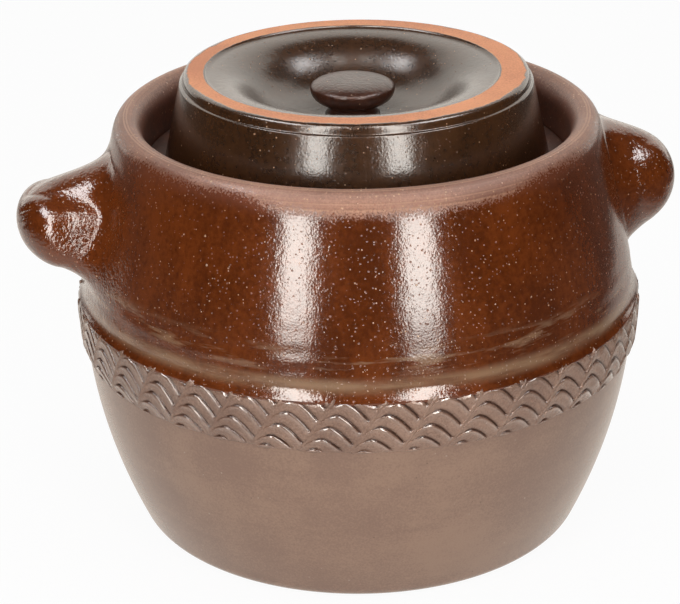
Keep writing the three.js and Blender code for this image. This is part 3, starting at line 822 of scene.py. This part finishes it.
def weightSurface(low, high, side):
    edge = weight["edge"]
    straight = weight["parting"] + edge
    reach, hole = max(high.y, -low.y) - edge, weight["notch"] + edge
    outerTurn, holeTurn = np.arccos(straight / reach), np.arccos(straight / hole)
    outerY, holeY = reach * np.sin(outerTurn), hole * np.sin(holeTurn)
    outline = joinRuns(
        arc(90, [0, 0], reach, reach, -np.degrees(outerTurn), np.degrees(outerTurn)),
        curve(24, [straight, outerY], [straight, holeY]),
        arc(40, [0, 0], hole, hole, np.degrees(holeTurn), -np.degrees(holeTurn)),
        curve(24, [straight, -holeY], [straight, -outerY])[:-1],
    )
    along = np.roll(outline, -1, 0) - np.roll(outline, 1, 0)
    outward = np.stack([along[:, 1], -along[:, 0]], 1) / np.linalg.norm(along, axis=1)[:, None]
    rounded = joinRuns(arc(7, [0, low.z + edge], edge, edge, -90, 0), arc(7, [0, high.z - edge], edge, edge, 0, 90))
    flat = outline[None] + rounded[:, None, :1] * outward[None]
    points = np.concatenate([flat, np.broadcast_to(rounded[:, None, 1:], (*flat.shape[:2], 1))], -1)
    return points * np.array([side, side, 1])


weightFinish = plainFinish("weightFinish", clay, weight["clay"], weight["shader"])
for name, node, side in (("weightRight", "weight_right", 1), ("weightLeft", "weight_left", -1)):
    low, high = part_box(node)
    heart = side * weight["heart"]
    gridPiece(name, weightSurface(low, high, side), weightFinish, node, node,
              [(heart, 0, low.z), (heart, 0, high.z)])


def lookingAt(start, target):
    return Matrix.Translation(start) @ (target - start).to_track_quat("-Z", "Y").to_matrix().to_4x4()


# camera: fitted to the photograph; the aim is a little up and left of the pot's middle
cameraSet = {"place": (-145.28, -917.25, 505.17), "target": (0, 0, 81.8), **sizes(aimRight=-8.395, aimUp=12.12),
             "roll": -0.732, "lens": 117.92}
eye, target = Vector(cameraSet["place"]) * mm, Vector(cameraSet["target"]) * mm
toTarget = (target - eye).normalized()
sideways = toTarget.cross(Vector((0, 0, 1))).normalized()
aim = target + sideways * cameraSet["aimRight"] + sideways.cross(toTarget) * cameraSet["aimUp"]
cameraData = bpy.data.cameras.new("camera")
cameraData.lens = cameraSet["lens"]
cameraData.sensor_width = 36
cameraData.clip_end = 50
camera = addObject("camera", cameraData)
camera.matrix_world = lookingAt(eye, aim) @ Matrix.Rotation(np.radians(cameraSet["roll"]), 4, "Z")
bpy.context.scene.camera = camera

# studio, in metres: white floor and backdrop, two tall panels in front and two cards overhead that only the glaze
# mirrors, and soft lamps that it doesn't
studio = {
    "panelTurn": 24.5, "panelAway": 1.25, "panelTopAway": 0.6, "panelWide": 0.25, "panelLow": 0.02, "panelHigh": 1.6,
    "panelGlow": 14.0, "panelColour": (1, 0.96, 0.9, 1), "panelDim": (0.0, 0.24, 0.1, 1.0),
    "panelPower": (5.2, 4.4), "topPower": 18.0, "topSize": 2.4, "topPlace": (0, 0.2, 1.9),
    "cardTurn": 68, "cardAway": 0.744, "cardTopAway": 0.496, "cardWide": 0.6, "cardLow": 0.95, "cardHigh": 1.1,
    "cardGlow": 12.0, "backGlow": 1.7, "backColour": (1, 0.95, 0.87, 1), "backSpread": 52, "backAway": 2.2,
    "backHigh": 2.6, "backColumns": 25, "ambient": 0.22, "room": 0.01,
    "floorHalf": 4, "floorColour": (0.95, 0.95, 0.95, 1), "floorRough": 0.9, "floorWhite": 0.94,
    # the table as the glaze mirrors it: an oval round the pot, and a stretch behind it with these soft edges
    "tableEdge": (0.45, 0.85), "tableNarrow": 1.5, "tableLeft": 0.15, "tableDark": 0.04, "tableBehind": 0.72,
    "behindNear": (-0.2, -0.05), "behindRight": (0.6, 0.68), "behindLeft": (-0.7, -0.45),
    "mirrorTint": (1, 0.92, 0.83, 1),
}
viewTurn = np.arctan2(eye.y, eye.x)


def stagePiece(name, vertices, faces, material):
    piece = addMesh(name, vertices, faces, material)
    return piece


def mirrorCard(name, turn, material):
    # a card that leans in over the pot, with its sizes under its name in the studio, seen only in mirrored light
    outward = np.array([np.cos(turn), np.sin(turn)])
    along = np.array([-np.sin(turn), np.cos(turn)]) * studio[name + "Wide"] / 2
    foot, head = outward * studio[name + "Away"], outward * studio[name + "TopAway"]
    low, high = studio[name + "Low"], studio[name + "High"]
    card = stagePiece(name, [(*(foot - along), low), (*(foot + along), low), (*(head + along), high),
                             (*(head - along), high)], [(0, 1, 2, 3)], material)
    card.visible_camera = card.visible_diffuse = card.visible_shadow = False
    return Vector((*((foot + head) / 2), (low + high) / 2))


def glowing(name, inputs):
    material, shader, place = newMaterial(name)
    nodes = material.node_tree.nodes
    nodes.remove(shader)
    glow = nodes.new("ShaderNodeEmission")
    fill(glow, inputs)
    fill(nodes["Material Output"], {"Surface": glow.outputs[0]})
    return material, glow, place


def areaLamp(name, power, size):
    lampData = bpy.data.lights.new(name, "AREA")
    lampData.size = size
    lampData.energy = power
    lamp = addObject(name, lampData)
    lamp.visible_glossy = False
    return lamp


# the floor is white to the camera and keeps a share of the pot's shadow; mirrored in the glaze it is the lit table
floorFinish, shader, place = newMaterial("floorFinish")
fill(shader, {"Base Color": studio["floorColour"], "Roughness": studio["floorRough"], "Specular IOR Level": 0.0})
nodes = floorFinish.node_tree.nodes
path = nodes.new("ShaderNodeLightPath").outputs
facing = put("ShaderNodeMapping", {"Vector": place, "Rotation": (0, 0, -viewTurn),
                                   "Location": (0, studio["tableLeft"], 0)}).outputs[0]
fromPot = radiusOf(stretched(facing, (1, studio["tableNarrow"], 0)))
behind = times(ramp(axis(facing, "X"), *studio["behindNear"], 1.0, 0.0),
               ramp(axis(facing, "Y"), *studio["behindRight"], 1.0, 0.0),
               ramp(axis(facing, "Y"), *studio["behindLeft"], 0.0, studio["tableBehind"]))
table = maths("MAXIMUM", behind, ramp(fromPot, *studio["tableEdge"], 1.0, studio["tableDark"]))
mirrored = maths("MAXIMUM", path["Is Glossy Ray"], path["Is Transmission Ray"])
white = put("ShaderNodeEmission", {"Color": blendColour(mirrored, (1, 1, 1, 1), studio["mirrorTint"]),
                                   "Strength": between(mirrored, 1.0, table)})
seen = times(maths("MAXIMUM", path["Is Camera Ray"], mirrored), studio["floorWhite"])
floorShader = put("ShaderNodeMixShader", {0: seen, 1: shader.outputs[0], 2: white.outputs[0]})
fill(nodes["Material Output"], {"Surface": floorShader.outputs[0]})
half = studio["floorHalf"]
stagePiece("floor", [(-half, -half, 0), (half, -half, 0), (half, half, 0), (-half, half, 0)], [(0, 1, 2, 3)],
           floorFinish)

# each panel is dimmer along its foot and has a lamp of its size
panelFinish, glow, place = glowing("panelFinish", {"Color": studio["panelColour"]})
dimming = ramp(axis(place, "Z"), *studio["panelDim"])
fill(glow, {"Strength": times(dimming, studio["panelGlow"])})
for side, power in zip((-1, 1), studio["panelPower"]):
    middle = mirrorCard("panel", viewTurn + side * np.radians(studio["panelTurn"]), panelFinish)
    lamp = areaLamp("softbox", power, studio["panelWide"])
    lamp.data.shape = "RECTANGLE"
    lamp.data.size_y = studio["panelHigh"]
    lamp.matrix_world = lookingAt(middle, Vector((0, 0, middle.z)))

# the cards are mirrored in the far wall of the lid's dish
cardFinish = glowing("cardFinish", {"Strength": studio["cardGlow"]})[0]
for side in (-1, 1):
    mirrorCard("card", viewTurn + side * np.radians(studio["cardTurn"]), cardFinish)

areaLamp("topLight", studio["topPower"], studio["topSize"]).location = studio["topPlace"]

backFinish = glowing("backFinish", {"Strength": studio["backGlow"], "Color": studio["backColour"]})[0]
columns = studio["backColumns"]
backTurn = viewTurn + np.pi + np.radians(studio["backSpread"]) * np.linspace(-1, 1, columns)
backRing = np.stack([np.cos(backTurn), np.sin(backTurn)], 1) * studio["backAway"]
backPoints = np.concatenate([np.c_[backRing, np.full(columns, level)] for level in (0, studio["backHigh"])])
column = np.arange(columns - 1)
backFaces = np.stack([column, column + 1, column + columns + 1, column + columns], 1).tolist()
stagePiece("backdrop", backPoints, backFaces, backFinish).visible_diffuse = False

# the room is white to the camera, nearly dark where it is mirrored, and dim as light
world = bpy.data.worlds.new("room")
bpy.context.scene.world = world
world.use_nodes = True
nodes = world.node_tree.nodes
path = nodes.new("ShaderNodeLightPath").outputs
dim = between(path["Is Glossy Ray"], studio["ambient"], studio["room"])
fill(nodes["Background"], {"Color": (1, 1, 1, 1), "Strength": maths("MAXIMUM", dim, path["Is Camera Ray"])})
bpy.context.scene.view_settings.view_transform = "Standard"
print("studio set")
